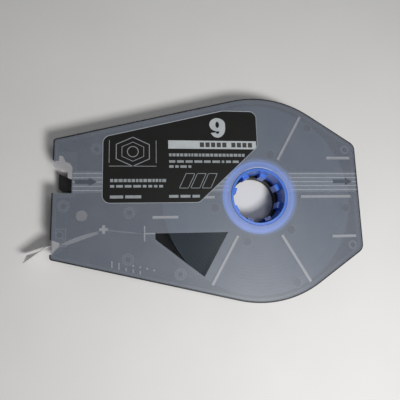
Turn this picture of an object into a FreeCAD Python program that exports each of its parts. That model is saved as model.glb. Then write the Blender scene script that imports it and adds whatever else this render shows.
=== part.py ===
"""Label tape cassette: black tray, smoke cover, blue reel, roll of 9 mm tape. Millimetres, +Z up.

The origin is on the reel's axis at the underside, +X points to the round end and the tape leaves at -X.
"""
import FreeCAD, Part
import Sketcher
import math
import os

V = FreeCAD.Vector

doc = FreeCAD.newDocument("label_tape_cassette")
sheet = doc.addObject("Spreadsheet::Sheet", "Sizes")

# Driving dimensions: alias, value in millimetres or degrees, what it is
SIZES = (
    ("case_radius", 42.6, "round end of the case, about the reel axis"),
    ("case_left", 82.4, "reel axis to the straight left side"),
    ("left_half", 23.6, "half the width of the straight left side"),
    ("right_step", 0.8, "flat right side, past the round end's radius"),
    ("right_half", 22.4, "half the width of the flat right side"),
    ("case_height", 14.0, "underside to the top of the cover"),
    ("corner_left", 1.3, "corner rounding at the left"),
    ("corner_right", 4.0, "corner rounding at the right"),
    ("floor", 1.6, "tray floor thickness"),
    ("wall", 1.6, "tray side wall thickness"),
    ("lip", 0.4, "thin rim of the tray that stands round the cover"),
    ("lip_drop", 0.35, "top of the rim below the top of the cover"),
    ("cover_plate", 1.6, "cover thickness"),
    ("fit_gap", 0.05, "gap between the cover and the rim round it"),
    ("edge_round", 0.8, "rounding of the tray's lower edge"),
    ("cover_edge", 0.25, "chamfer of the cover's edges"),
    ("notch_depth", 7.4, "side notch, from the left side inwards"),
    ("notch_margin", 8.5, "upper left corner to the side notch"),
    ("notch_width", 13.2, "side notch, along the left side"),
    ("slot_width", 1.5, "small guide slot at the top of the notch"),
    ("slot_depth", 2.0, "how far the guide slot goes up"),
    ("slot_inset", 2.0, "left side to the guide slot"),
    ("hood_drop", 2.8, "how far the cover hangs over the notch"),
    ("hood_length", 5.1, "overhang of the cover along the notch"),
    ("hood_bend", 1.4, "fall of the hood's edge to its bend"),
    ("hood_fall", 2.1, "fall of the hood's edge to its end"),
    ("hood_end", 4.2, "fall of the hood's edge past its end"),
    ("hood_root", 5.0, "fall of the hood's edge to the notch wall"),
    ("tongue_height", 6.0, "height of the low tongue in the notch"),
    ("tongue_length", 7.0, "tongue, out from the notch wall"),
    ("tongue_low", 2.0, "lower edge of the tongue, above the notch's"),
    ("tongue_width", 4.0, "tongue, across its root"),
    ("tongue_rise", 3.3, "rise of the tongue's upper edge towards its end"),
    ("bevel", 1.1, "bevels in the notch"),
    ("collar_bore", 9.8, "radius of the spindle hole in the tray"),
    ("collar_wall", 1.0, "thickness of the collar round the spindle hole"),
    ("collar_height", 4.0, "underside to the top of the collar"),
    ("reel_gap", 0.1, "radial running gap of the reel on the collar"),
    ("reel_wall", 0.9, "thickness of the reel's inner tube"),
    ("neck_gap", 0.2, "radial gap between the reel's neck and the cover"),
    ("drum_step", 3.4, "reel's outer drum, past its inner tube"),
    ("drum_wall", 1.2, "thickness of the reel's outer drum"),
    ("web", 1.1, "thickness of the reel's top web"),
    ("float_gap", 0.3, "gap over and under the reel"),
    ("neck_drop", 0.3, "top of the reel's neck below the top of the cover"),
    ("tooth_count", 8, "drive teeth in the reel"),
    ("tooth_width", 2.7, "drive tooth, across"),
    ("tooth_length", 1.7, "drive tooth, in from the reel's bore"),
    ("tooth_top", 9.8, "underside to the top of the drive teeth"),
    ("tooth_phase", 26.5, "direction of the first drive tooth"),
    ("rib_web", 1.0, "thickness of the ribs inside the reel"),
    ("reel_rib_count", 6, "ribs inside the reel"),
    ("roll_clear", 1.0, "full roll of tape to the tray's wall"),
    ("tape_clear", 0.9, "tape's edges to the floor and to the cover"),
    ("tape_thick", 0.16, "thickness of the tape"),
    ("cover_rib_width", 1.2, "ribs under the cover"),
    ("cover_rib_depth", 0.5, "depth of the ribs under the cover"),
    ("cover_rib_count", 6, "radial ribs under the cover"),
    ("cover_rib_start", 3.2, "start of the radial ribs, past the reel"),
    ("side_rib_inset", 5.5, "short right ribs, in from the flat side's ends"),
    ("side_rib_length", 10.8, "short right ribs, in from the wall"),
    ("bar_place", 8.0, "rib across the roll's edge, below the axis"),
    ("bar_out", 3.8, "how far that rib stands out past the roll"),
    ("bar_in", 6.6, "how far that rib reaches in over the roll"),
    ("tick_count", 7, "places in the row of small ribs along the lower slope"),
    ("full_ticks", 2, "small ribs of full length, from the left"),
    ("short_ticks", 3, "short ribs, next in the row, all but the first with a stud above"),
    ("tick_pitch", 2.7, "distance between the small ribs"),
    ("tick_width", 0.5, "width of the small ribs"),
    ("tick_start", 23.0, "left side to the first small rib"),
    ("tick_high", 4.4, "sloping side to the upper end of the full ribs, and to the studs"),
    ("tick_low", 1.7, "sloping side to the lower end of the small ribs"),
    ("tick_short", 3.1, "sloping side to the upper end of the short ribs"),
    ("stud_radius", 0.4, "studs in the row"),
    ("stem_length", 6.2, "rib across the tape over the first guide"),
    ("stem_arm", 4.2, "rib that branches off it"),
    ("mark_radius", 2.1, "round ejector marks under the cover"),
    ("mark_depth", 0.2, "depth of the ejector marks"),
    ("mark_inner", 3.9, "inner ring of ejector marks, past the reel"),
    ("mark_outer", 2.0, "outer ring of ejector marks, in from the roll's edge"),
    ("disc_radius", 2.2, "round pad under the cover, beside the notch"),
    ("disc_right", 3.8, "notch wall to the round pad"),
    ("disc_drop", 8.9, "notch's lower edge down to the round pad"),
    ("band_drop", 0.25, "lower edge of the sunk band, below the notch's"),
    ("band_width", 8.9, "width of the sunk band"),
    ("band_depth", 0.25, "depth of the sunk band"),
    ("ridge_first", 1.1, "lowest ridge, above the band's lower edge"),
    ("ridge_pitch", 1.7, "distance between ridges"),
    ("ridge_count", 5, "ridges in the band"),
    ("ridge_width", 0.45, "width of a ridge"),
    ("arrow_rise", 4.55, "middle line of the arrows, above the band's lower edge"),
    ("arrow_width", 3.2, "arrow head, across"),
    ("arrow_head", 2.9, "arrow head, along"),
    ("arrow_shaft", 5.4, "arrow shaft, along"),
    ("shaft_width", 1.4, "arrow shaft, across"),
    ("arrow_left", 1.3, "notch wall to the tail of the left arrow"),
    ("arrow_right", 11.0, "flat right side to the tail of the right arrow"),
    ("label_left", 19.0, "left side of the case to the label recess"),
    ("label_right", 0.1, "right side of the label recess"),
    ("label_low", 2.4, "lower side of the label recess, below the axis"),
    ("label_top", 5.9, "label recess below the round end's highest line"),
    ("label_slope", 3.5, "sloping side of the case to the label recess"),
    ("label_cut_angle", 47.0, "direction of the label's slanted side's normal"),
    ("label_cut", 3.3, "hub hole to the label's slanted side"),
    ("label_depth", 0.3, "depth of the label recess"),
    ("label_thick", 0.2, "thickness of the label"),
    ("label_gap", 0.1, "gap round the label"),
    ("label_corner", 3.2, "corner rounding of the label"),
    ("window_top", 2.4, "upper side of the window, below the hub hole"),
    ("window_right_angle", 30.0, "direction of the window's right side's normal"),
    ("window_right", 4.7, "window's right side, from the axis"),
    ("window_slope_angle", 128.2, "direction of the window's lower side's normal"),
    ("window_slope", 3.0, "window's lower side, inside the round end's radius"),
    ("window_left", 2.7, "left end of the window, past the roll"),
    ("window_depth", 0.12, "depth of the window's polished facets"),
    ("pin_radius", 1.1, "pins of the cover"),
    ("pin_length", 5.0, "length of the pins under the cover"),
    ("pin_gap", 0.05, "gap round a pin in its socket"),
    ("post_radius", 2.3, "socket posts of the tray"),
    ("small_post", 1.9, "socket posts at the right corners"),
    ("boss_side", 5.0, "square socket boss beside the exit"),
    ("boss_inset", 3.1, "left side to the middle of the square boss"),
    ("boss_rise", 3.8, "middle of the square boss, above the exit"),
    ("notch_pin_inset", 4.2, "left side to the pin below the notch"),
    ("notch_pin_drop", 5.1, "notch's lower edge down to that pin"),
    ("room_pin_out", 13.2, "pin left of the roll, out from the roll"),
    ("room_pin_angle", 186.5, "direction of that pin"),
    ("edge_pin_out", 5.0, "pin below the window, out from the roll"),
    ("edge_pin_angle", 222.7, "direction of that pin"),
    ("low_pin_left", 29.1, "left side to the pin by the lower slope"),
    ("low_pin_inset", 6.3, "lower slope to that pin"),
    ("high_pin_left", 16.4, "left side to the pin by the upper slope"),
    ("high_pin_inset", 7.4, "upper slope to that pin"),
    ("corner_pin_inset", 3.8, "flat right side to the corner pins"),
    ("corner_pin_drop", 1.8, "ends of the flat right side to the corner pins"),
    ("guide_radius", 1.7, "guide posts of the tape"),
    ("first_guide_out", 9.6, "first guide post, out from the roll"),
    ("first_guide_angle", 198.95, "direction of the first guide post"),
    ("second_guide_shift", 0.3, "second guide post, right of the middle between the first and the exit"),
    ("second_guide_rise", 3.9, "second guide post, above the exit"),
    ("guide_gap", 0.06, "gap between the tape and its guides"),
    ("exit_margin", 5.5, "lower left corner to the tape at the exit"),
    ("mouth_rise", 1.9, "tape at the exit up to the mouth's upper edge"),
    ("mouth_fall", 3.6, "tape at the exit down to the mouth's lower edge"),
    ("exit_throat", 1.6, "height of the exit's throat"),
    ("exit_depth", 3.3, "mouth's depth, from the left side to the throat"),
    ("exit_wall", 1.3, "thickness of the walls beside the mouth"),
    ("tip_length", 12.6, "tape end past the left side"),
    ("tip_fall", 3.7, "tape end, below the exit"),
    ("tip_lean", 18.0, "lean of the tape end, outwards at the top"),
    ("tip_rake", 12.0, "slant of the tape's cut end"),
)


class Dim:
    """A size that keeps its number and its formula in the sheet together."""

    def __init__(self, number, formula):
        self.number = float(number)
        self.formula = formula

    def __add__(self, other):
        other = as_dim(other)
        return Dim(self.number + other.number, f"({self.formula} + {other.formula})")

    def __sub__(self, other):
        other = as_dim(other)
        return Dim(self.number - other.number, f"({self.formula} - {other.formula})")

    def __mul__(self, other):
        other = as_dim(other)
        return Dim(self.number * other.number, f"({self.formula} * {other.formula})")

    def __truediv__(self, other):
        other = as_dim(other)
        return Dim(self.number / other.number, f"({self.formula} / {other.formula})")

    def __neg__(self):
        return Dim(-self.number, f"(0 - {self.formula})")


def as_dim(value):
    return value if isinstance(value, Dim) else Dim(value, repr(float(value)))


def cosine(angle):
    angle = as_dim(angle)
    return Dim(math.cos(math.radians(angle.number)), f"cos({angle.formula} * 1 deg)")


def sine(angle):
    angle = as_dim(angle)
    return Dim(math.sin(math.radians(angle.number)), f"sin({angle.formula} * 1 deg)")


def root(value):
    return Dim(math.sqrt(value.number), f"sqrt({value.formula})")


class Sizes:
    """Every alias of the sheet as a Dim, such as size.wall."""


size = Sizes()
for row, (alias, value, note) in enumerate(SIZES, 1):
    sheet.set(f"A{row}", note)
    sheet.set(f"B{row}", str(value))
    sheet.setAlias(f"B{row}", alias)
    setattr(size, alias, Dim(value, f"Sizes.{alias}"))
doc.recompute()


# Lines and corners

def heading(angle):
    """The unit normal of a line, from its direction in degrees."""
    return cosine(angle), sine(angle)


def mirrored(normal):
    """The same normal on the other side of the middle line."""
    return normal[0], -normal[1]


def tangent_normal(dx, dy, offset):
    """Unit normal of the line whose distance from a point (dx, dy) away is the offset."""
    square = dx * dx + dy * dy
    across = root(square - offset * offset)
    return (offset * dx - across * dy) / square, (offset * dy + across * dx) / square


def meeting(first, second):
    """Where two lines meet. A line is its unit normal and its distance from the axis."""
    (ax, ay), a_far = first[0], as_dim(first[1])
    (bx, by), b_far = second[0], as_dim(second[1])
    turn = ax * by - ay * bx
    return (a_far * by - b_far * ay) / turn, (b_far * ax - a_far * bx) / turn


def on_circle(radius, normal):
    return as_dim(radius) * normal[0], as_dim(radius) * normal[1]


def polygon(lines, inset):
    """Corners of a convex outline given by its sides, drawn in by an inset."""
    sides = [(normal, as_dim(distance) - inset) for normal, distance in lines]
    return [meeting(sides[index - 1], sides[index]) for index in range(len(sides))]


# Levels, radii and lines that several pieces share
cover_low = size.case_height - size.cover_plate
rim_top = size.case_height - size.lip_drop
tape_low = size.floor + size.tape_clear
tape_high = cover_low - size.tape_clear
tape_width = tape_high - tape_low
case_far_left = -size.case_left
case_right = size.case_radius + size.right_step
bore_radius = size.collar_bore + size.collar_wall + size.reel_gap
tube_radius = bore_radius + size.reel_wall
hub_hole = tube_radius + size.neck_gap
reel_radius = tube_radius + size.drum_step
roll_radius = size.case_radius - size.wall - size.roll_clear
leftwards, rightwards, upwards, downwards = heading(180), heading(0), heading(90), heading(270)
shoulder_low = tangent_normal(case_far_left, -size.left_half, size.case_radius)
shoulder_top = mirrored(shoulder_low)
nose_top = tangent_normal(case_right, size.right_half, size.case_radius)
nose_low = mirrored(nose_top)

# The side notch and the tape's exit at the left
notch_wall = case_far_left + size.notch_depth
notch_high = size.left_half - size.notch_margin
notch_low = notch_high - size.notch_width
exit_middle = size.exit_margin - size.left_half
mouth_high = exit_middle + size.mouth_rise
mouth_low = exit_middle - size.mouth_fall


# Sketches

def bind(thing, prop, dim):
    thing.setExpression(prop, dim.formula)


def plane_of(body, role):
    return next(f for f in body.Origin.OriginFeatures if f.Role == role)


def new_sketch(body, name, level=None, role="XY_Plane"):
    """A sketch on one of the body's own planes, raised to a level."""
    sketch = body.newObject("Sketcher::SketchObject", name)
    sketch.AttachmentSupport = [(plane_of(body, role), "")]
    sketch.MapMode = "FlatFace"
    if level is not None:
        level = as_dim(level)
        sketch.AttachmentOffset = FreeCAD.Placement(V(0, 0, level.number), FreeCAD.Rotation())
        bind(sketch, "AttachmentOffset.Base.z", level)
    return sketch


def constrain(sketch, kind, *spots, dim=None):
    """Adds a constraint, and ties it to the sheet when it has a size."""
    if dim is None:
        sketch.addConstraint(Sketcher.Constraint(kind, *spots))
        return
    index = sketch.addConstraint(Sketcher.Constraint(kind, *spots, dim.number))
    sketch.setExpression(f"Constraints[{index}]", dim.formula)


def pin_point(sketch, geometry, end, point):
    constrain(sketch, "DistanceX", -1, 1, geometry, end, dim=point[0])
    constrain(sketch, "DistanceY", -1, 1, geometry, end, dim=point[1])


def loop(sketch, corners):
    """A closed outline, anticlockwise. A corner is (x, y), or (x, y, radius) where a bulging arc leads on
    to the next corner, or (x, y, radius, "hollow") where a hollow one does."""
    points = [(as_dim(c[0]), as_dim(c[1])) for c in corners]
    spots = [V(x.number, y.number, 0) for x, y in points]
    first = sketch.GeometryCount
    ends = []
    for index, corner in enumerate(corners):
        start, end = spots[index], spots[(index + 1) % len(spots)]
        if len(corner) == 2:
            sketch.addGeometry(Part.LineSegment(start, end), False)
            ends.append((1, 2))
            continue
        hollow = len(corner) == 4
        if hollow:
            start, end = end, start
        sketch.addGeometry(arc_between(start, end, as_dim(corner[2]).number), False)
        constrain(sketch, "Radius", first + index, dim=as_dim(corner[2]))
        ends.append((2, 1) if hollow else (1, 2))
    for index in range(len(corners)):
        following = (index + 1) % len(corners)
        constrain(sketch, "Coincident", first + index, ends[index][1], first + following, ends[following][0])
        pin_point(sketch, first + index, ends[index][0], points[index])


def arc_between(start, end, radius):
    """The shorter anticlockwise arc between two points."""
    chord = end - start
    rise = math.sqrt(radius ** 2 - chord.Length ** 2 / 4)
    centre = (start + end) * 0.5 + V(-chord.y, chord.x, 0).normalize() * rise
    begin = math.atan2(start.y - centre.y, start.x - centre.x)
    finish = math.atan2(end.y - centre.y, end.x - centre.x)
    return Part.ArcOfCircle(Part.Circle(centre, V(0, 0, 1), radius), begin, finish)


def circle(sketch, x, y, radius):
    x, y, radius = as_dim(x), as_dim(y), as_dim(radius)
    place = V(x.number, y.number, 0)
    index = sketch.addGeometry(Part.Circle(place, V(0, 0, 1), radius.number), False)
    pin_point(sketch, index, 3, (x, y))
    constrain(sketch, "Radius", index, dim=radius)


def box_loop(sketch, low_x, low_y, high_x, high_y):
    loop(sketch, [(low_x, low_y), (high_x, low_y), (high_x, high_y), (low_x, high_y)])


# Features

def pad(body, sketch, length, name, down=False):
    feature = body.newObject("PartDesign::Pad", name)
    feature.Profile = sketch
    feature.Reversed = down
    length = as_dim(length)
    feature.Length = length.number
    bind(feature, "Length", length)
    return settle(body, feature, adds=True)


def pocket(body, sketch, depth, name, up=False):
    """Cuts downwards from the sketch, or upwards when asked."""
    feature = body.newObject("PartDesign::Pocket", name)
    feature.Profile = sketch
    feature.Reversed = up
    depth = as_dim(depth)
    feature.Length = depth.number
    bind(feature, "Length", depth)
    return settle(body, feature, adds=False)


def settle(body, feature, adds):
    """Recomputes the body and makes sure that the feature did its work."""
    base = feature.BaseFeature
    before = base.Shape.Volume if base is not None else 0.0
    doc.recompute()
    change = feature.Shape.Volume - before
    if (change > 0) != adds or abs(change) < 1e-6:
        raise RuntimeError(f"{feature.Name} changed the volume by {change:.3f}")
    return feature


def polar(body, feature, count, name):
    """Copies a feature round the reel axis."""
    pattern = body.newObject("PartDesign::PolarPattern", name)
    pattern.Originals = [feature]
    pattern.Axis = (plane_of(body, "Z_Axis"), [""])
    pattern.Angle = 360
    count = as_dim(count)
    pattern.Occurrences = int(count.number)
    bind(pattern, "Occurrences", count)
    body.Tip = pattern
    doc.recompute()
    return pattern


def linear(body, feature, role, spacing, count, name):
    """Copies a feature in a row along one of the body's axes."""
    pattern = body.newObject("PartDesign::LinearPattern", name)
    pattern.Originals = [feature]
    pattern.Direction = (plane_of(body, role), [""])
    spacing, count = as_dim(spacing), as_dim(count)
    reach = spacing * (count - 1)
    pattern.Length = reach.number
    bind(pattern, "Length", reach)
    pattern.Occurrences = int(count.number)
    bind(pattern, "Occurrences", count)
    body.Tip = pattern
    doc.recompute()
    return pattern


def upright_edges(shape, spots):
    """Names of the upright edges that stand on the given places."""
    names = []
    for index, edge in enumerate(shape.Edges, 1):
        if len(edge.Vertexes) != 2:
            continue
        low, high = (vertex.Point for vertex in edge.Vertexes)
        if math.hypot(low.x - high.x, low.y - high.y) > 1e-4:
            continue
        if any(math.hypot(low.x - x.number, low.y - y.number) < 1e-3 for x, y in spots):
            names.append(f"Edge{index}")
    return names


def round_upright(body, feature, spots, radius, name):
    fillet = body.newObject("PartDesign::Fillet", name)
    fillet.Base = (feature, upright_edges(feature.Shape, spots))
    fillet.Radius = radius.number
    bind(fillet, "Radius", radius)
    doc.recompute()
    return fillet


def level_edges(shape, level, keep):
    """Names of the edges that lie at a level and pass a test of their middle."""
    names = []
    for index, edge in enumerate(shape.Edges, 1):
        box = edge.BoundBox
        if abs(box.ZMin - level.number) > 1e-4 or abs(box.ZMax - level.number) > 1e-4:
            continue
        if keep(edge.valueAt((edge.FirstParameter + edge.LastParameter) / 2)):
            names.append(f"Edge{index}")
    return names


def dress_edges(body, feature, kind, prop, names, amount, name):
    """A fillet or a chamfer along edges that are given by name."""
    dressed = body.newObject(kind, name)
    dressed.Base = (feature, names)
    setattr(dressed, prop, amount.number)
    bind(dressed, prop, amount)
    doc.recompute()
    return dressed


def new_body(label):
    body = doc.addObject("PartDesign::Body", label)
    body.Label = label
    return body


# Outlines that the pieces share

def case_sides(inset):
    """The case's corners and arcs, drawn in by an inset, anticlockwise from the lower left corner."""
    radius = size.case_radius - inset
    left = (leftwards, size.case_left - inset)
    right = (rightwards, case_right - inset)
    lower_left = meeting(left, (shoulder_low, radius))
    upper_left = meeting((shoulder_top, radius), left)
    lower_right = meeting((nose_low, radius), right)
    upper_right = meeting(right, (nose_top, radius))
    return {
        "lower_left": lower_left,
        "lower_right": lower_right,
        "upper_right": upper_right,
        "upper_left": upper_left,
        "loop": [
            lower_left,
            (*on_circle(radius, shoulder_low), radius),
            on_circle(radius, nose_low),
            lower_right,
            upper_right,
            (*on_circle(radius, nose_top), radius),
            on_circle(radius, shoulder_top),
            upper_left,
        ],
    }


def label_sides(inset):
    return polygon(
        (
            (leftwards, size.case_left - size.label_left),
            (downwards, size.label_low),
            (heading(-size.label_cut_angle), -(hub_hole + size.label_cut)),
            (rightwards, size.label_right),
            (upwards, size.case_radius - size.label_top),
            (shoulder_top, size.case_radius - size.label_slope),
        ),
        inset,
    )


def window_sides():
    return polygon(
        (
            (leftwards, roll_radius + size.window_left),
            (heading(-size.window_slope_angle), size.case_radius - size.window_slope),
            (heading(-size.window_right_angle), -size.window_right),
            (upwards, -(hub_hole + size.window_top)),
        ),
        0,
    )


# Where the cover's pins sit in the tray's posts
def slope_spot(normal, from_left, inset):
    """A place given by its distances from the left side and from a sloping side."""
    return meeting((leftwards, size.case_left - from_left), (normal, size.case_radius - inset))


PINS = (
    (case_far_left + size.notch_pin_inset, notch_low - size.notch_pin_drop),
    on_circle(roll_radius + size.room_pin_out, heading(size.room_pin_angle)),
    on_circle(roll_radius + size.edge_pin_out, heading(size.edge_pin_angle)),
    slope_spot(shoulder_low, size.low_pin_left, size.low_pin_inset),
    slope_spot(shoulder_top, size.high_pin_left, size.high_pin_inset),
)
CORNER_PINS = (
    (case_right - size.corner_pin_inset, size.right_half - size.corner_pin_drop),
    (case_right - size.corner_pin_inset, size.corner_pin_drop - size.right_half),
)
BOSS_PIN = (case_far_left + size.boss_inset, exit_middle + size.boss_rise)

# The tape's path: two guide posts, the throat of the exit and the left side
first_guide = on_circle(roll_radius + size.first_guide_out, heading(size.first_guide_angle))
throat_x = case_far_left + size.exit_depth
second_guide = (
    (first_guide[0] + throat_x) / 2 + size.second_guide_shift,
    exit_middle + size.second_guide_rise,
)


# Bottom tray

def make_tray():
    body = new_body("bottom_tray")
    outer = case_sides(0)
    base = new_sketch(body, "tray_outline")
    loop(base, outer["loop"])
    pad(body, base, rim_top, "tray_block")
    seat = new_sketch(body, "cover_seat", rim_top)
    seat_sides = case_sides(size.lip)
    loop(seat, seat_sides["loop"])
    block = pocket(body, seat, rim_top - cover_low, "cover_seat_cut")
    left = [outer["lower_left"], outer["upper_left"]]
    right = [outer["lower_right"], outer["upper_right"]]
    seat_corners = [seat_sides["lower_right"], seat_sides["upper_right"]]
    block = round_upright(body, block, seat_corners, size.corner_right - size.lip, "cover_seat_corners")
    block = round_upright(body, block, left, size.corner_left, "tray_left_corners")
    block = round_upright(body, block, right, size.corner_right, "tray_right_corners")
    lower = level_edges(block.Shape, as_dim(0), lambda middle: True)
    dress_edges(body, block, "PartDesign::Fillet", "Radius", lower, size.edge_round, "tray_lower_edge")

    inner = case_sides(size.wall)
    corners = inner["loop"][:-1]
    low_x, top_y = case_far_left + size.wall, notch_high + size.slot_depth + size.wall
    room = new_sketch(body, "tray_room", cover_low)
    loop(room, corners + [
        inner["upper_left"],
        (low_x, top_y),
        (notch_wall + size.wall, top_y),
        (notch_wall + size.wall, notch_low - size.wall),
        (low_x, notch_low - size.wall),
    ])
    pocket(body, room, cover_low - size.floor, "tray_room_cut")

    make_exit(body)
    make_notch(body)
    make_collar_and_posts(body)
    return body


def notch_top(inset):
    """The notch's upper edge with its guide slot, drawn in by an inset, from the right to the left."""
    slot_left = case_far_left + size.slot_inset
    slot_right = slot_left + size.slot_width
    slot_top = notch_high + size.slot_depth - inset
    return [
        (notch_wall - inset, notch_high - size.hood_drop - inset),
        (notch_wall - size.bevel - inset, notch_high - size.bevel - inset),
        (slot_right + size.bevel - inset, notch_high - size.lip - inset),
        (slot_right - inset, slot_top),
        (slot_left + inset, slot_top),
        (slot_left + inset, notch_high - inset),
    ]


def make_notch(body):
    """The side notch with its guide slot, and the low tongue that stands in it."""
    clear = case_far_left - size.wall
    notch = new_sketch(body, "notch", size.case_height)
    loop(notch, [(clear, notch_low), (notch_wall, notch_low)] + notch_top(0) + [(clear, notch_high)])
    pocket(body, notch, size.case_height * 2, "notch_cut")
    tip = notch_wall - size.tongue_length
    tongue_low = notch_low + size.tongue_low
    tongue_high = tongue_low + size.tongue_width
    tongue = new_sketch(body, "tongue")
    loop(tongue, [
        (tip + size.bevel, tongue_low),
        (notch_wall + size.wall, tongue_low),
        (notch_wall + size.wall, tongue_high),
        (notch_wall, tongue_high),
        (tip, tongue_high + size.tongue_rise),
        (tip, tongue_low + size.bevel),
    ])
    pad(body, tongue, size.tongue_height, "tongue_pad")


def mouth_corners(inset):
    """The exit's mouth inside the rim, drawn in by an inset, from its lower edge round its throat."""
    edge = case_far_left + size.lip + size.fit_gap
    half_throat = size.exit_throat / 2 - inset
    return [
        (edge, mouth_low + inset),
        (throat_x - inset, exit_middle - half_throat),
        (throat_x - inset, exit_middle + half_throat),
        (edge, mouth_high - inset),
    ]


def make_exit(body):
    """The mouth at the left side where the tape leaves, with a wall on each side of its throat, and the
    square socket boss beside it."""
    half_throat = size.exit_throat / 2
    cheeks = new_sketch(body, "exit_cheeks", size.floor)
    loop(cheeks, [
        (case_far_left + size.lip, mouth_low - size.exit_wall / 2),
        (throat_x + size.exit_wall, exit_middle - half_throat - size.exit_wall),
        (throat_x + size.exit_wall, exit_middle + half_throat + size.exit_wall),
        (case_far_left + size.lip, mouth_high + size.exit_wall),
    ])
    pad(body, cheeks, cover_low - size.floor, "exit_cheeks_pad")
    boss = new_sketch(body, "square_boss")
    boss_x, boss_y = BOSS_PIN
    half_boss = size.boss_side / 2
    box_loop(boss, boss_x - half_boss, boss_y - half_boss, boss_x + half_boss, boss_y + half_boss)
    pad(body, boss, cover_low - size.fit_gap, "square_boss_pad")
    mouth = new_sketch(body, "exit_mouth", size.case_height)
    loop(mouth, [(case_far_left - size.wall, mouth_low)] + mouth_corners(0) + [
        (case_far_left - size.wall, mouth_high),
    ])
    pocket(body, mouth, size.case_height * 2, "exit_mouth_cut")
    throat = new_sketch(body, "exit_throat", size.case_height)
    box_loop(throat, throat_x - size.lip, exit_middle - half_throat,
             throat_x + size.exit_wall * 2, exit_middle + half_throat)
    pocket(body, throat, size.case_height - size.floor, "exit_throat_cut")


def make_collar_and_posts(body):
    collar = new_sketch(body, "collar")
    circle(collar, 0, 0, size.collar_bore + size.collar_wall)
    pad(body, collar, size.collar_height, "collar_pad")
    bore = new_sketch(body, "spindle_hole", size.case_height)
    circle(bore, 0, 0, size.collar_bore)
    pocket(body, bore, size.case_height * 2, "spindle_hole_cut")

    post_top = tape_high + size.fit_gap
    guides = new_sketch(body, "guide_posts")
    circle(guides, *first_guide, size.guide_radius)
    circle(guides, *second_guide, size.guide_radius)
    pad(body, guides, post_top, "guide_posts_pad")

    posts = new_sketch(body, "socket_posts")
    for x, y in PINS:
        circle(posts, x, y, size.post_radius)
    for x, y in CORNER_PINS:
        circle(posts, x, y, size.small_post)
    pad(body, posts, cover_low - size.fit_gap, "socket_posts_pad")
    sockets = new_sketch(body, "pin_sockets", cover_low)
    for x, y in PINS + CORNER_PINS + (BOSS_PIN,):
        circle(sockets, x, y, size.pin_radius + size.pin_gap)
    pocket(body, sockets, size.pin_length + size.float_gap, "pin_sockets_cut")


# Top cover

# Directions of the ejector marks on their two rings, between the radial ribs
INNER_MARK_ANGLES = (-107, -46.7, 72, 193.5)
OUTER_MARK_ANGLES = (-68, -7.5, 52.5)


def hood_edge():
    """The free edge of the cover's hood over the notch, from the left side to the notch's wall."""
    left = case_far_left + size.lip + size.fit_gap
    hood = notch_high - size.hood_drop
    hood_right = left + size.hood_length
    return [
        (left, hood),
        (left + size.hood_length / 2, hood - size.hood_bend),
        (hood_right, hood - size.hood_fall),
        (hood_right, hood - size.hood_end),
        (notch_wall, hood - size.hood_root),
    ]


def cover_loop():
    """The cover's outline: the case's, drawn in behind the rim, with a hood over part of the notch."""
    outline = case_sides(size.lip + size.fit_gap)
    left = case_far_left + size.lip + size.fit_gap
    corners = outline["loop"] + hood_edge() + [(notch_wall, notch_low), (left, notch_low)]
    return corners, outline


def make_cover():
    body = new_body("top_cover")
    corners, outline = cover_loop()
    base = new_sketch(body, "cover_outline", cover_low)
    loop(base, corners)
    circle(base, 0, 0, hub_hole)
    plate = pad(body, base, size.cover_plate, "cover_plate_pad")
    left_spots = [outline["lower_left"], outline["upper_left"]]
    right_spots = [outline["lower_right"], outline["upper_right"]]
    left_round = size.corner_left - size.lip
    right_round = size.corner_right - size.lip
    plate = round_upright(body, plate, left_spots, left_round, "cover_left_corners")
    plate = round_upright(body, plate, right_spots, right_round, "cover_right_corners")
    top = level_edges(plate.Shape, size.case_height, lambda middle: True)
    dress_edges(body, plate, "PartDesign::Chamfer", "Size", top, size.cover_edge, "cover_top_edge")

    make_band(body)
    recess = new_sketch(body, "label_recess", size.case_height)
    sides = label_sides(0)
    loop(recess, sides)
    sunk = pocket(body, recess, size.label_depth, "label_recess_cut")
    round_upright(body, sunk, sides, size.label_corner, "label_recess_corners")
    make_window(body)
    make_cover_ribs(body)
    make_marks_and_pins(body)
    return body


def make_band(body):
    """The sunk band along the cover, with ridges and an arrow near each end."""
    start = notch_wall + size.lip
    finish = case_right - size.lip * 2
    band_low = notch_low - size.band_drop
    band = new_sketch(body, "band", size.case_height)
    box_loop(band, start, band_low, finish, band_low + size.band_width)
    pocket(body, band, size.band_depth, "band_cut")
    band_floor = size.case_height - size.band_depth
    ridge = new_sketch(body, "band_ridge", band_floor)
    hub_clear = hub_hole + size.lip * 2
    low = band_low + size.ridge_first - size.ridge_width / 2
    high = low + size.ridge_width
    box_loop(ridge, start, low, -hub_clear, high)
    box_loop(ridge, hub_clear, low, finish, high)
    first = pad(body, ridge, size.band_depth, "band_ridge_pad")
    linear(body, first, "Y_Axis", size.ridge_pitch, size.ridge_count, "band_ridges")
    arrows = new_sketch(body, "arrows", band_floor)
    middle = band_low + size.arrow_rise
    half_shaft, half_head = size.shaft_width / 2, size.arrow_width / 2
    for tail in (notch_wall + size.arrow_left, case_right - size.arrow_right):
        neck = tail + size.arrow_shaft
        loop(arrows, [
            (tail, middle - half_shaft),
            (neck, middle - half_shaft),
            (neck, middle - half_head),
            (neck + size.arrow_head, middle),
            (neck, middle + half_head),
            (neck, middle + half_shaft),
            (tail, middle + half_shaft),
        ])
    pad(body, arrows, size.band_depth + size.lip_drop / 2, "arrows_pad")


def make_window(body):
    """The window is polished on both faces, so each face is sunk a little."""
    for name, level, up in (("window_top", size.case_height, False), ("window_under", cover_low, True)):
        sketch = new_sketch(body, name + "_outline", level)
        loop(sketch, window_sides())
        pocket(body, sketch, size.window_depth, name + "_cut", up)


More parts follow.
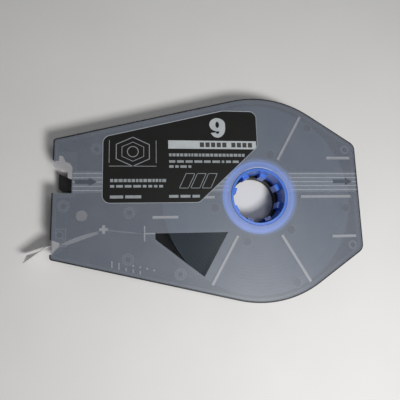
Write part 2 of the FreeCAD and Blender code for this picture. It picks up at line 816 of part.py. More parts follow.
def make_cover_ribs(body):
    """Radial ribs that keep the roll off the cover, short ribs at the right and across the roll's edge, and
    the guides' ribs."""
    half = size.cover_rib_width / 2
    radial = new_sketch(body, "radial_rib", cover_low)
    wall_inside = size.case_radius - size.wall
    box_loop(radial, reel_radius + size.cover_rib_start, -half, wall_inside - size.float_gap, half)
    first = pad(body, radial, size.cover_rib_depth, "radial_rib_pad", down=True)
    polar(body, first, size.cover_rib_count, "radial_ribs")
    straight = new_sketch(body, "straight_ribs", cover_low)
    right_end = case_right - size.wall
    side_place = size.right_half - size.side_rib_inset
    for place in (side_place, -side_place):
        box_loop(straight, right_end - size.side_rib_length, place - half, right_end, place + half)
    bar = -size.bar_place
    box_loop(straight, -(roll_radius + size.bar_out), bar - half, size.bar_in - roll_radius, bar + half)
    stem, hang = first_guide[0], first_guide[1] + size.guide_radius
    thin, reach = half / 2, size.stem_length / 2
    box_loop(straight, stem - thin, hang - reach, stem + thin, hang + reach)
    box_loop(straight, stem + thin, hang - thin, stem + size.stem_arm, hang + thin)
    pad(body, straight, size.cover_rib_depth, "straight_ribs_pad", down=True)
    cross = new_sketch(body, "cross_rib", cover_low)
    cross_x, middle = second_guide[0], second_guide[1] + size.guide_radius
    arm = size.guide_radius
    loop(cross, [
        (cross_x - arm, middle - half), (cross_x - half, middle - half), (cross_x - half, middle - arm),
        (cross_x + half, middle - arm), (cross_x + half, middle - half), (cross_x + arm, middle - half),
        (cross_x + arm, middle + half), (cross_x + half, middle + half), (cross_x + half, middle + arm),
        (cross_x - half, middle + arm), (cross_x - half, middle + half), (cross_x - arm, middle + half),
    ])
    pad(body, cross, size.cover_rib_depth, "cross_rib_pad", down=True)
    make_ticks(body)
    make_linings(body)


def make_linings(body):
    """The cover is thicker where it spans the notch and the exit's mouth, and fits into both."""
    linings = new_sketch(body, "linings", cover_low)
    left, hood = hood_edge()[0]
    root = hood - size.hood_root + size.fit_gap
    loop(linings, hood_edge()[:-1] + [(notch_wall - size.fit_gap, root)] + notch_top(size.fit_gap) + [
        (left, notch_high - size.fit_gap),
    ])
    loop(linings, mouth_corners(size.fit_gap))
    pad(body, linings, size.cover_rib_depth, "linings_pad", down=True)


def make_ticks(body):
    """The row of small ribs and studs along the lower slope, and the round pad beside the notch."""
    ticks = new_sketch(body, "ticks", cover_low)
    half = size.tick_width / 2
    full = int(size.full_ticks.number)
    with_rib = full + int(size.short_ticks.number)
    for index in range(int(size.tick_count.number)):
        x = case_far_left + size.tick_start + size.tick_pitch * index
        low, short, high = (
            meeting((rightwards, x), (shoulder_low, size.case_radius - inset))[1]
            for inset in (size.tick_low, size.tick_short, size.tick_high)
        )
        if index < with_rib:
            box_loop(ticks, x - half, low, x + half, high if index < full else short)
        if index > full:
            circle(ticks, x, high, size.stud_radius)
    circle(ticks, notch_wall + size.disc_right, notch_low - size.disc_drop, size.disc_radius)
    pad(body, ticks, size.cover_rib_depth, "ticks_pad", down=True)


def make_marks_and_pins(body):
    """Round ejector marks in the underside, and the pins that hold the cover on the tray."""
    marks = new_sketch(body, "ejector_marks", cover_low)
    rings = (
        (reel_radius + size.mark_inner, INNER_MARK_ANGLES),
        (roll_radius - size.mark_outer, OUTER_MARK_ANGLES),
    )
    for radius, angles in rings:
        for angle in angles:
            circle(marks, *on_circle(radius, heading(angle)), size.mark_radius)
    pocket(body, marks, size.mark_depth, "ejector_marks_cut", up=True)
    pins = new_sketch(body, "pins", cover_low)
    for x, y in PINS + CORNER_PINS + (BOSS_PIN,):
        circle(pins, x, y, size.pin_radius)
    pad(body, pins, size.pin_length, "pins_pad", down=True)


# Label

def make_label():
    body = new_body("label_panel")
    sketch = new_sketch(body, "label_outline", size.case_height - size.label_depth)
    sides = label_sides(size.label_gap)
    loop(sketch, sides)
    sheet_pad = pad(body, sketch, size.label_thick, "label_pad")
    round_upright(body, sheet_pad, sides, size.label_corner - size.label_gap, "label_corners")
    return body


# Reel core

def make_reel():
    body = new_body("reel_core")
    reel_low = size.floor + size.float_gap
    reel_top = cover_low - size.float_gap
    neck_top = size.case_height - size.neck_drop
    web_low = reel_top - size.web
    drum_inside = reel_radius - size.drum_wall
    profile = new_sketch(body, "reel_profile", role="XZ_Plane")
    loop(profile, [
        (bore_radius, reel_low),
        (tube_radius, reel_low),
        (tube_radius, web_low),
        (drum_inside, web_low),
        (drum_inside, reel_low),
        (reel_radius, reel_low),
        (reel_radius, reel_top),
        (tube_radius, reel_top),
        (tube_radius, neck_top),
        (bore_radius, neck_top),
    ])
    turned = body.newObject("PartDesign::Revolution", "reel_turned")
    turned.Profile = profile
    turned.ReferenceAxis = (profile, ["V_Axis"])
    turned.Angle = 360
    settle(body, turned, adds=True)

    rib = new_sketch(body, "reel_rib", reel_low)
    box_loop(rib, tube_radius - size.fit_gap, -size.rib_web / 2, drum_inside + size.fit_gap, size.rib_web / 2)
    rib_pad = pad(body, rib, web_low - reel_low, "reel_rib_pad")
    polar(body, rib_pad, size.reel_rib_count, "reel_ribs")

    tooth_low = size.collar_height + size.float_gap
    tooth = new_sketch(body, "drive_tooth", tooth_low)
    half = size.tooth_width / 2
    out_x, out_y = cosine(size.tooth_phase), sine(size.tooth_phase)

    def turned_spot(along, across):
        return along * out_x - across * out_y, along * out_y + across * out_x

    root_radius = bore_radius + size.reel_wall / 2
    loop(tooth, [
        turned_spot(bore_radius - size.tooth_length, -half),
        turned_spot(root_radius, -half),
        turned_spot(root_radius, half),
        turned_spot(bore_radius - size.tooth_length, half),
    ])
    tooth_pad = pad(body, tooth, size.tooth_top - tooth_low, "drive_tooth_pad")
    polar(body, tooth_pad, size.tooth_count, "drive_teeth")
    return body


# Roll of tape

def make_roll():
    body = new_body("tape_roll")
    sketch = new_sketch(body, "roll_outline", tape_low)
    circle(sketch, 0, 0, roll_radius)
    circle(sketch, 0, 0, reel_radius)
    pad(body, sketch, tape_width, "roll_pad")
    return body


# Tape lead, from the roll round the guides to the exit and the free end

def step(point, normal, distance):
    return point[0] + normal[0] * distance, point[1] + normal[1] * distance


def make_lead():
    """One strip on edge: off the roll's lower side, over both guides, and out through the throat."""
    body = new_body("tape_lead")
    axis = (as_dim(0), as_dim(0))
    first, second = first_guide, second_guide
    near = size.guide_radius + size.guide_gap
    far = near + size.tape_thick
    start = roll_radius + size.float_gap
    bend = (throat_x, exit_middle)
    leave = (case_far_left - size.wall, exit_middle - size.lip)
    normal_in = tangent_normal(*first, start + far)
    normal_mid = tangent_normal(second[0] - first[0], second[1] - first[1], as_dim(0))
    normal_out = tangent_normal(bend[0] - second[0], bend[1] - second[1], -near)
    strip = new_sketch(body, "lead_path", tape_low)
    loop(strip, [
        step(axis, normal_in, start),
        (*step(first, normal_in, -far), far),
        step(first, normal_mid, -far),
        (*step(second, normal_mid, -far), far),
        step(second, normal_out, -far),
        (bend[0], bend[1] + size.tape_thick),
        (leave[0], leave[1] + size.tape_thick),
        leave,
        bend,
        (*step(second, normal_out, -near), near, "hollow"),
        step(second, normal_mid, -near),
        (*step(first, normal_mid, -near), near, "hollow"),
        step(first, normal_in, -near),
        step(axis, normal_in, start + size.tape_thick),
    ])
    pad(body, strip, tape_width, "lead_pad")
    make_tip(body, leave)
    return body


def make_tip(body, leave):
    """The free end, which leans out at its top and is cut at a slant."""
    root_sketch = new_sketch(body, "tip_root", leave[0], "YZ_Plane")
    box_loop(root_sketch, leave[1], tape_low, leave[1] + size.tape_thick, tape_high)
    end_sketch = new_sketch(body, "tip_end", case_far_left - size.tip_length, "YZ_Plane")
    end_sketch.AttachmentOffset = FreeCAD.Placement(
        end_sketch.AttachmentOffset.Base, FreeCAD.Rotation(V(1, 0, 0), size.tip_rake.number))
    bind(end_sketch, "AttachmentOffset.Rotation.Angle", size.tip_rake)
    foot = (exit_middle - size.tip_fall, tape_low)
    lean_x, lean_y = sine(size.tip_lean), cosine(size.tip_lean)
    top = (foot[0] - tape_width * lean_x, foot[1] + tape_width * lean_y)
    side_x, side_y = size.tape_thick * lean_y, size.tape_thick * lean_x
    loop(end_sketch, [foot, (foot[0] + side_x, foot[1] + side_y), (top[0] + side_x, top[1] + side_y), top])
    loft = body.newObject("PartDesign::AdditiveLoft", "tip_loft")
    loft.Profile = root_sketch
    loft.Sections = [end_sketch]
    loft.Ruled = False
    settle(body, loft, adds=True)


pieces = [make_tray(), make_cover(), make_label(), make_reel(), make_roll(), make_lead()]

# Checks and files
doc.recompute()
for thing in doc.Objects:
    if "Invalid" in thing.State or "Error" in thing.State:
        raise RuntimeError(f"{thing.Name} is {thing.State}")
for piece in pieces:
    if piece.Shape.isNull() or not piece.Shape.isValid():
        raise RuntimeError(f"{piece.Label} has no valid shape")
    if len(piece.Shape.Solids) != 1:
        raise RuntimeError(f"{piece.Label} is {len(piece.Shape.Solids)} solids")

os.makedirs("parts", exist_ok=True)
for piece in pieces:
    piece.Shape.exportStep(f"parts/{piece.Label}.step")
    box = piece.Shape.BoundBox
    print(f"{piece.Label}: {piece.Shape.Volume:.0f} mm3, "
          f"{box.XMin:.1f}..{box.XMax:.1f}, {box.YMin:.1f}..{box.YMax:.1f}, {box.ZMin:.1f}..{box.ZMax:.1f}")
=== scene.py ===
import math
import random

import bpy
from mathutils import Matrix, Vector


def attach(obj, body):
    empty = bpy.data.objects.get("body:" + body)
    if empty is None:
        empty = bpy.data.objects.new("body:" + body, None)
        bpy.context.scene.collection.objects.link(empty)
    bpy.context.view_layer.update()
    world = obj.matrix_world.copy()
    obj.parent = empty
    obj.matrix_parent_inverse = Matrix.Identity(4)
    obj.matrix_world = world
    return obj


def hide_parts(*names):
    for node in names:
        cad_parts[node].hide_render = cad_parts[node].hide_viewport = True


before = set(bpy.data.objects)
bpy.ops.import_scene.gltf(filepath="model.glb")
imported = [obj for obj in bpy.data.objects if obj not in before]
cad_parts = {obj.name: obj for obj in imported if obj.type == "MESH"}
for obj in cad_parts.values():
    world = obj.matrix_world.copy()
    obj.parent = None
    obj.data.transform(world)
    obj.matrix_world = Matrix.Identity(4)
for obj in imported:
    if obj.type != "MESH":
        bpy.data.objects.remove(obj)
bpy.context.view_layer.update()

MM = 0.001

# Heights of the CAD faces that the finishes and prints go by, in millimetres
CASE_TOP = 14.0
WINDOW_TOP = 13.88
BAND_FLOOR = 13.75
LABEL_TOP = 13.9
MARK_FLOOR = 12.6
WINDOW_UNDER = 12.52
COVER_UNDER = 12.4
RIB_LOW = 11.9
SOCKET_TOP = 12.35
TAPE_TOP = 11.47

# The sunk band across the case, in millimetres
BAND_LOW = 1.55
BAND_HIGH = 10.6
RIDGE_WIDTH = 0.46
BAND_ENDS = (-74.55, 42.55)

# Linings at the narrow end reach this far in, and the round pad lies between these two
LINING_REACH = -74.9
PAD_LEFT = -73.5
PAD_RIGHT = -68.9

# Widths of the fine edges: the ring round an ejector mark or a socket, and the rounding of the hub's hole
MARK_RING = 0.32
HUB_EDGE = 0.25

# The bead round the label's recess: its radius, and how far its middle lies under the case's top
BEAD_RADIUS = 0.16
BEAD_SINK = 0.06

# Room for the weld between cover and tray, and the height and thickness of the thin seam in that room
WELD_ROOM = 0.02
SEAM_LEVEL = COVER_UNDER + 0.012
SEAM_THICK = 0.006

# Ink lies on the label film with its lower side a hair within it, so that no gap shows
INK_LOW = LABEL_TOP - 0.005
INK_THICK = 0.03

# The tape's free run between these two places leans by this share of its height
LOOSE_RUN = (-80.5, -64.8)
LEAN = 0.08


def linear(code):
    """An sRGB hex colour as the linear colour that a socket takes."""
    shares = [int(code[i:i + 2], 16) / 255 for i in (0, 2, 4)]
    return [s / 12.92 if s <= 0.04045 else ((s + 0.055) / 1.055) ** 2.4 for s in shares] + [1.0]


def add_node(tree, kind, values=None, links=None, **settings):
    """A node with its settings, its sockets' values and what is linked to them."""
    node = tree.nodes.new(kind)
    for name, value in settings.items():
        setattr(node, name, value)
    for socket, value in (values or {}).items():
        node.inputs[socket].default_value = value
    for socket, source in (links or {}).items():
        tree.links.new(source, node.inputs[socket])
    return node


def plain_shader(name, values):
    """A new material and its one shader, with the values that are the same all over."""
    material = bpy.data.materials.new(name)
    material.use_nodes = True
    shader = material.node_tree.nodes["Principled BSDF"]
    for socket, value in values.items():
        shader.inputs[socket].default_value = value
    return material, material.node_tree, shader


def moulded(name, dark, light, blotch, grit, height, rough, rough_change=0.06, painted_glow=None, **values):
    """A moulded or printed surface: cloudy colour of the melt's flow, with the fine grit of the mould on top.

    blotch, grit and height are in millimetres. The grit of a real mould is some hundredths of a millimetre
    across, too fine for the picture, so it is drawn coarser and nearly flat. A painted glow is painted light:
    another colour round the reel's axis, standing in for light that spreads there, with its share at some radii in
    millimetres."""
    material, tree, shader = plain_shader(name, values)
    place = add_node(tree, "ShaderNodeTexCoord").outputs["Object"]
    cloud = add_node(tree, "ShaderNodeTexNoise", {"Scale": 1 / (blotch * MM), "Detail": 3.0, "Roughness": 0.55},
                     {"Vector": place})
    ramp = add_node(tree, "ShaderNodeValToRGB", links={"Fac": cloud.outputs["Fac"]})
    ramp.color_ramp.elements[0].position = 0.3
    ramp.color_ramp.elements[0].color = linear(dark)
    ramp.color_ramp.elements[1].position = 0.7
    ramp.color_ramp.elements[1].color = linear(light)
    colour = ramp.outputs["Color"]
    # Painted glow: light round the reel's axis, mixed into the colour
    if painted_glow:
        flat = add_node(tree, "ShaderNodeVectorMath", {1: (1, 1, 0)}, {0: place}, operation="MULTIPLY")
        radius = add_node(tree, "ShaderNodeVectorMath", links={0: flat.outputs["Vector"]}, operation="LENGTH")
        reach = painted_glow[1][-1][0]
        scaled = add_node(tree, "ShaderNodeMath", {1: reach * MM}, {0: radius.outputs["Value"]}, operation="DIVIDE")
        share = add_node(tree, "ShaderNodeValToRGB", links={"Fac": scaled.outputs["Value"]})
        share.color_ramp.interpolation = "EASE"
        stops = share.color_ramp.elements
        stops[0].position = painted_glow[1][0][0] / reach
        for distance, _ in painted_glow[1][1:-1]:
            stops.new(distance / reach)
        for stop, (_, amount) in zip(stops, painted_glow[1]):
            stop.color = (amount, amount, amount, 1.0)
        mixed = add_node(tree, "ShaderNodeMix", data_type="RGBA")
        tree.links.new(share.outputs["Color"], mixed.inputs[0])
        tree.links.new(colour, mixed.inputs[6])
        mixed.inputs[7].default_value = linear(painted_glow[0])
        colour = mixed.outputs[2]
    grain = add_node(tree, "ShaderNodeTexNoise", {"Scale": 1 / (grit * MM), "Detail": 2.0}, {"Vector": place})
    gloss = add_node(tree, "ShaderNodeMapRange",
                     {"To Min": rough - rough_change, "To Max": rough + rough_change},
                     {"Value": grain.outputs["Fac"]})
    relief = add_node(tree, "ShaderNodeBump", {"Strength": 1.0, "Distance": height * MM},
                      {"Height": grain.outputs["Fac"]})
    tree.links.new(colour, shader.inputs["Base Color"])
    tree.links.new(gloss.outputs["Result"], shader.inputs["Roughness"])
    tree.links.new(relief.outputs["Normal"], shader.inputs["Normal"])
    return material


def wound_side(name):
    """The side of a wound roll: the cut edges of hundreds of turns, seen as fine rings that wander a little.

    A real turn is 0.16 mm, too fine for the picture, so a ring is drawn for every eight turns."""
    material, tree, shader = plain_shader(name, {"Specular IOR Level": 0.3})
    place = add_node(tree, "ShaderNodeTexCoord").outputs["Object"]
    turn_pitch = 1.3
    rings = add_node(tree, "ShaderNodeTexWave",
                     {"Scale": math.pi / (10 * turn_pitch * MM), "Distortion": 1.2, "Detail": 2.0,
                      "Detail Scale": 0.6},
                     {"Vector": place}, wave_type="RINGS", rings_direction="Z")
    cloud = add_node(tree, "ShaderNodeTexNoise", {"Scale": 1 / (7 * MM), "Detail": 2.0}, {"Vector": place})
    both = add_node(tree, "ShaderNodeMath", links={0: rings.outputs["Fac"], 1: cloud.outputs["Fac"]},
                    operation="MULTIPLY")
    colour = add_node(tree, "ShaderNodeValToRGB", links={"Fac": both.outputs["Value"]})
    colour.color_ramp.elements[0].color = linear("29353F")
    colour.color_ramp.elements[1].position = 0.7
    colour.color_ramp.elements[1].color = linear("354350")
    relief = add_node(tree, "ShaderNodeBump", {"Strength": 1.0, "Distance": 0.005 * MM},
                      {"Height": rings.outputs["Fac"]})
    tree.links.new(colour.outputs["Color"], shader.inputs["Base Color"])
    tree.links.new(relief.outputs["Normal"], shader.inputs["Normal"])
    shader.inputs["Roughness"].default_value = 0.6
    return material


def cut_tape(name):
    """White vinyl tape: satin faces, and a grey cut edge where the layers of adhesive and paper show."""
    material, tree, shader = plain_shader(name, {"Roughness": 0.3, "Specular IOR Level": 0.6})
    place = add_node(tree, "ShaderNodeTexCoord").outputs["Object"]
    cloud = add_node(tree, "ShaderNodeTexNoise", {"Scale": 1 / (5 * MM), "Detail": 2.0}, {"Vector": place})
    face = add_node(tree, "ShaderNodeValToRGB", links={"Fac": cloud.outputs["Fac"]})
    face.color_ramp.elements[0].color = linear("E6E2DF")
    face.color_ramp.elements[1].color = linear("F2F0EE")
    split = add_node(tree, "ShaderNodeSeparateXYZ", links={"Vector": place})
    edge = add_node(tree, "ShaderNodeMath", {1: TAPE_TOP * MM}, {0: split.outputs["Z"]}, operation="GREATER_THAN")
    mixed = add_node(tree, "ShaderNodeMix", data_type="RGBA")
    tree.links.new(edge.outputs["Value"], mixed.inputs[0])
    tree.links.new(face.outputs["Color"], mixed.inputs[6])
    mixed.inputs[7].default_value = linear("4A4A4A")
    tree.links.new(mixed.outputs[2], shader.inputs["Base Color"])
    return material


# Painted light: the blue light from the reel's flange, which spreads within the frost above it, painted into the
# cover's colour round the reel's axis
PAINTED_HALO = ("A8BFFA", ((12.4, 0.5), (13.3, 0.6), (14.3, 0.9), (15.0, 0.6), (16.6, 0.0)))

# Smoke-tinted polystyrene with a spark-eroded top: grey haze that lets half of what is under it show
SMOKE = moulded("frosted_smoke_polystyrene", "808898", "89919F", 9.0, 0.3, 0.0006, 0.42, 0.008, PAINTED_HALO,
                **{"Alpha": 0.41, "Specular IOR Level": 1.0})
# The same plastic over the band's coarser floor, which scatters more light
BAND = moulded("coarse_smoke_polystyrene", "929AA8", "9BA3B0", 7.0, 0.3, 0.001, 0.45, 0.01, PAINTED_HALO,
               **{"Alpha": 0.45, "Specular IOR Level": 0.9})
# Ridge crests and edges, painted paler than the floor between them as a highlight where they catch the light
PAINTED_HIGHLIGHT = moulded("highlight_painted_smoke_polystyrene", "B4BAC2", "C2C8D0", 3.0, 0.3, 0.0006, 0.42, 0.02, PAINTED_HALO,
                **{"Alpha": 0.55})
# The cover's inner side, polished in the mould, so that it adds hardly any haze
INSIDE = moulded("clear_smoke_polystyrene", "7C8492", "868E9C", 9.0, 0.3, 0.0006, 0.2, 0.02,
                 **{"Alpha": 0.06, "Specular IOR Level": 0.3})
# Raised arrows, smooth on top, so that the dark inside shows more
ARROW = moulded("smooth_smoke_polystyrene", "565D68", "5F6671", 4.0, 0.2, 0.001, 0.35, 0.02, **{"Alpha": 0.6})
# The window's polished facets: nearly clear, a faint sheen
WINDOW = moulded("polished_smoke_polystyrene", "181B1E", "202427", 12.0, 1.2, 0.0, 0.2, 0.02,
                 **{"Alpha": 0.2, "Specular IOR Level": 0.2})
# Ribs under the cover, thick in their own length, so they catch light: their pale colour is painted light, the glow
# they gather from the white roll below
RIB = moulded("rib_glow_painted_smoke_polystyrene", "BFBDBC", "CDCBCA", 3.0, 0.3, 0.0006, 0.45, 0.02, **{"Alpha": 0.8})
# Thick linings under the hood and at the exit: a warm pale tone painted in for the light that crosses them twice
LINING = moulded("backlit_painted_smoke_polystyrene", "C9C1BA", "D6CFC9", 3.0, 0.3, 0.0006, 0.45, 0.02, **{"Alpha": 0.85})
# The round pad by the hood: dull, a little warm
PAD = moulded("dull_smoke_polystyrene", "8B8681", "96918C", 2.0, 0.3, 0.0006, 0.5, 0.02, **{"Alpha": 0.85})
# Ejector marks: their dense skin hides the roll under them, so they look like dark discs
MARK = moulded("pressed_smoke_polystyrene", "0C0E10", "121518", 3.0, 0.3, 0.001, 0.3, 0.02,
               **{"Alpha": 0.92, "Specular IOR Level": 0.1})
# Where the cover is welded to the tray it has melted flat, and looks paler through the frost
WELD = moulded("welded_smoke_polystyrene", "7A8088", "888E96", 2.5, 0.25, 0.001, 0.4, 0.02, **{"Alpha": 0.06})
# The sockets' moulded edges, seen as faint rings
SOCKET_EDGE = moulded("rounded_smoke_polystyrene", "989EA6", "A6ACB4", 2.5, 0.25, 0.001, 0.4, 0.02,
                      **{"Alpha": 0.24})
# Black ABS with the fine even texture of an eroded mould, which dulls its shine
BLACK = moulded("black_textured_abs", "090A0B", "101112", 6.0, 0.18, 0.004, 0.42, **{"Specular IOR Level": 0.22})
# Blue acetal: glossy, waxy, slightly cloudy in the mass
BLUE = moulded("blue_gloss_acetal", "3A66C4", "4A7AD2", 5.0, 0.4, 0.001, 0.26, 0.03, **{"Specular IOR Level": 0.4})
# Black polyester label film with a satin overlaminate: deep black with a weak, soft shine
FILM = moulded("satin_black_polyester_film", "0A0A09", "10100F", 8.0, 0.16, 0.002, 0.4,
               **{"Specular IOR Level": 0.18})
# Silver-grey screen ink on the film: flat, pale and cool
INK = moulded("silver_grey_screen_ink", "A4A9AC", "B2B7BA", 4.0, 0.15, 0.001, 0.5)
# The same ink thinned to hairlines, where the black film shows through it
THIN_INK = moulded("thin_silver_grey_ink", "7E8386", "8E9396", 2.0, 0.15, 0.001, 0.5)
# Black ink on the silver bar: flat, and a little greyer than the film
BLACK_INK = moulded("black_screen_ink", "1C1C1B", "262625", 4.0, 0.15, 0.001, 0.5)
# White vinyl label tape, satin on its printed side, with a grey line along its cut edge
TAPE = cut_tape("satin_white_vinyl_tape")
# The wound tape's cut edges with their adhesive between them: dark, dull and bluish
WOUND = wound_side("wound_tape_edges")


def take(piece):
    """Selects this piece alone and makes it the active one."""
    bpy.ops.object.select_all(action="DESELECT")
    piece.select_set(True)
    bpy.context.view_layer.objects.active = piece


def copy_of(node, name):
    """A copy of a CAD node as a piece of its own, its loose triangles merged into whole faces."""
    piece = bpy.data.objects.new(name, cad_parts[node].data.copy())
    bpy.context.scene.collection.objects.link(piece)
    take(piece)
    bpy.ops.object.mode_set(mode="EDIT")
    bpy.ops.mesh.select_all(action="SELECT")
    bpy.ops.mesh.remove_doubles(threshold=0.001 * MM)
    bpy.ops.mesh.dissolve_limited(angle_limit=math.radians(0.1))
    bpy.ops.object.mode_set(mode="OBJECT")
    return piece


def wear(piece, *materials):
    """Puts these materials on a piece in place of what it has."""
    piece.data.materials.clear()
    for material in materials:
        piece.data.materials.append(material)


def near(a, b, room=0.02):
    """Whether two heights are the same within some room, in millimetres."""
    return abs(a - b) < room


def extent(piece, face, axis):
    """How far a face reaches along an axis, in millimetres."""
    along = [piece.data.vertices[v].co[axis] / MM for v in face.vertices]
    return min(along), max(along)


def cover_finish(piece, face):
    """The finish for one face of the cover, by its height and place."""
    high = face.center.z / MM
    flat = abs(face.normal.z) > 0.99
    across = extent(piece, face, 1)
    along = extent(piece, face, 0)
    # Raised sides and narrow crests take the pale finish, a painted highlight
    if high > CASE_TOP + 0.02:
        return ARROW if flat else PAINTED_HIGHLIGHT
    if flat and near(high, CASE_TOP) and BAND_LOW < across[0] and across[1] < BAND_HIGH:
        return PAINTED_HIGHLIGHT if across[1] - across[0] < RIDGE_WIDTH + 0.1 else SMOKE
    if flat and near(high, BAND_FLOOR):
        return BAND
    if flat and (near(high, WINDOW_TOP) or near(high, WINDOW_UNDER)):
        return WINDOW
    # Ribs and linings under the cover take finishes whose pale colour is painted light
    if RIB_LOW - 0.02 < high < COVER_UNDER - 0.02:
        if along[1] < LINING_REACH:
            return LINING
        return PAD if PAD_LEFT < along[0] and along[1] < PAD_RIGHT else RIB
    return SMOKE if high > WINDOW_TOP - 0.3 else INSIDE


def pick(piece, wanted):
    """Selects the faces that meet a test, in edit mode by faces."""
    bpy.ops.object.mode_set(mode="EDIT")
    bpy.ops.mesh.select_mode(type="FACE")
    bpy.ops.mesh.select_all(action="DESELECT")
    bpy.ops.object.mode_set(mode="OBJECT")
    for face in piece.data.polygons:
        face.select = wanted(face)
    bpy.ops.object.mode_set(mode="EDIT")


def round_hub_edge(piece):
    """Rounds the upper edge of the hub's hole, and gives the radius that the rounding stays within."""
    upper = [v.co.xy.length for v in piece.data.vertices if near(v.co.z / MM, CASE_TOP)]
    radius = min(upper)
    bpy.ops.object.mode_set(mode="EDIT")
    bpy.ops.mesh.select_mode(type="EDGE")
    bpy.ops.mesh.select_all(action="DESELECT")
    bpy.ops.object.mode_set(mode="OBJECT")
    for edge in piece.data.edges:
        ends = [piece.data.vertices[v].co for v in edge.vertices]
        edge.select = all(abs(end.xy.length - radius) < 0.03 * MM and end.z > (BAND_FLOOR - 0.01) * MM
                          for end in ends) and near(ends[0].z / MM, ends[1].z / MM, 0.001)
    bpy.ops.object.mode_set(mode="EDIT")
    bpy.ops.mesh.bevel(offset=HUB_EDGE * MM, segments=3)
    bpy.ops.object.mode_set(mode="OBJECT")
    return radius + HUB_EDGE * MM


def make_cover():
    """The smoke-tinted cover, each of its faces in its own finish."""
    piece = copy_of("top_cover", "smoke_cover_shell")
    finishes = [SMOKE, BAND, PAINTED_HIGHLIGHT, ARROW, WINDOW, RIB, LINING, PAD, MARK, SOCKET_EDGE, INSIDE]
    wear(piece, *finishes)
    # The ridges run into the plain top at the band's two ends, where the faces are parted
    for end in BAND_ENDS:
        bpy.ops.object.mode_set(mode="EDIT")
        bpy.ops.mesh.select_all(action="SELECT")
        bpy.ops.mesh.bisect(plane_co=(end * MM, 0, 0), plane_no=(1, 0, 0))
        bpy.ops.object.mode_set(mode="OBJECT")
    hole = round_hub_edge(piece)
    for face in piece.data.polygons:
        face.material_index = finishes.index(cover_finish(piece, face))
        face.use_smooth = False
        # The rounding of the hub's hole, painted pale as a highlight line
        if face.center.z > (BAND_FLOOR - 0.2) * MM and abs(face.normal.z) < 0.98 and face.center.xy.length < hole:
            face.material_index = finishes.index(PAINTED_HIGHLIGHT)
    # Each ejector mark is a dark disc inside a pale ring
    pick(piece, lambda face: near(face.center.z / MM, MARK_FLOOR) and face.normal.z < -0.99)
    bpy.ops.mesh.inset(thickness=MARK_RING * MM)
    piece.active_material_index = finishes.index(MARK)
    bpy.ops.object.material_slot_assign()
    bpy.ops.object.mode_set(mode="OBJECT")
    for face in piece.data.polygons:
        if near(face.center.z / MM, MARK_FLOOR) and face.material_index != finishes.index(MARK):
            face.material_index = finishes.index(SOCKET_EDGE)
    # The cover's lower face is lifted off the tray's seat by the thickness of the weld
    for vertex in piece.data.vertices:
        if near(vertex.co.z / MM, COVER_UNDER, 0.005):
            vertex.co.z += WELD_ROOM * MM
    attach(piece, "case")
    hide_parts("top_cover")
    return piece


def make_lead():
    """The roll's free end. Between its last guide and the exit it leans back, as a loose tape does, so that
    its printed side faces up a little and catches the light."""
    piece = copy_of("tape_lead", "loose_tape_lead")
    start, end = LOOSE_RUN
    bpy.ops.object.mode_set(mode="EDIT")
    for step in range(9):
        bpy.ops.mesh.select_all(action="SELECT")
        bpy.ops.mesh.bisect(plane_co=((start + (end - start) * step / 8) * MM, 0, 0), plane_no=(1, 0, 0))
    bpy.ops.object.mode_set(mode="OBJECT")
    low = min(v.co.z for v in piece.data.vertices)
    for vertex in piece.data.vertices:
        share = (vertex.co.x / MM - start) / (end - start)
        if 0 < share < 1:
            vertex.co.y += math.sin(math.pi * share) * LEAN * (vertex.co.z - low)
    wear(piece, TAPE)
    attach(piece, "case")
    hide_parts("tape_lead")
    return piece


def make_seam(name, level, finish, ring_only):
    """The pale seam where the cover sits on faces of the tray at one level, as a thin sheet."""
    piece = copy_of("bottom_tray", name)
    pick(piece, lambda face: not (near(face.center.z / MM, level, 0.005) and face.normal.z > 0.99))
    bpy.ops.mesh.delete(type="FACE")
    if ring_only:
        bpy.ops.mesh.select_all(action="SELECT")
        bpy.ops.mesh.inset(thickness=MARK_RING * MM)
        bpy.ops.mesh.delete(type="FACE")
    bpy.ops.object.mode_set(mode="OBJECT")
    for vertex in piece.data.vertices:
        vertex.co.z = SEAM_LEVEL * MM
    wear(piece, finish)
    modifier = piece.modifiers.new("thickness", "SOLIDIFY")
    modifier.thickness = SEAM_THICK * MM
    modifier.offset = 0
    bpy.ops.object.modifier_apply(modifier=modifier.name)
    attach(piece, "case")
    return piece


def make_bead():
    """The narrow edge round the label's recess, from the label's own outline, painted pale as a highlight."""
    piece = copy_of("label_panel", "recess_bead")
    pick(piece, lambda face: face.normal.z < 0.99)
    bpy.ops.mesh.delete(type="FACE")
    bpy.ops.mesh.select_all(action="SELECT")
    bpy.ops.mesh.delete(type="ONLY_FACE")
    bpy.ops.object.mode_set(mode="OBJECT")
    for vertex in piece.data.vertices:
        vertex.co.z = (CASE_TOP - BEAD_SINK) * MM
    bpy.ops.object.convert(target="CURVE")
    piece = bpy.context.object
    piece.data.bevel_depth = BEAD_RADIUS * MM
    piece.data.bevel_resolution = 2
    bpy.ops.object.convert(target="MESH")
    piece = bpy.context.object
    wear(piece, PAINTED_HIGHLIGHT)
    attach(piece, "case")
    return piece


def begin_print(name):
    """An empty mesh in edit mode, for flat ink shapes that are thickened together."""
    bpy.ops.object.select_all(action="DESELECT")
    bpy.ops.mesh.primitive_plane_add(size=MM, location=(0, 0, 0))
    piece = bpy.context.object
    piece.name = name
    piece.data.name = name
    bpy.ops.object.mode_set(mode="EDIT")
    bpy.ops.mesh.select_all(action="SELECT")
    bpy.ops.mesh.delete(type="VERT")
    return piece


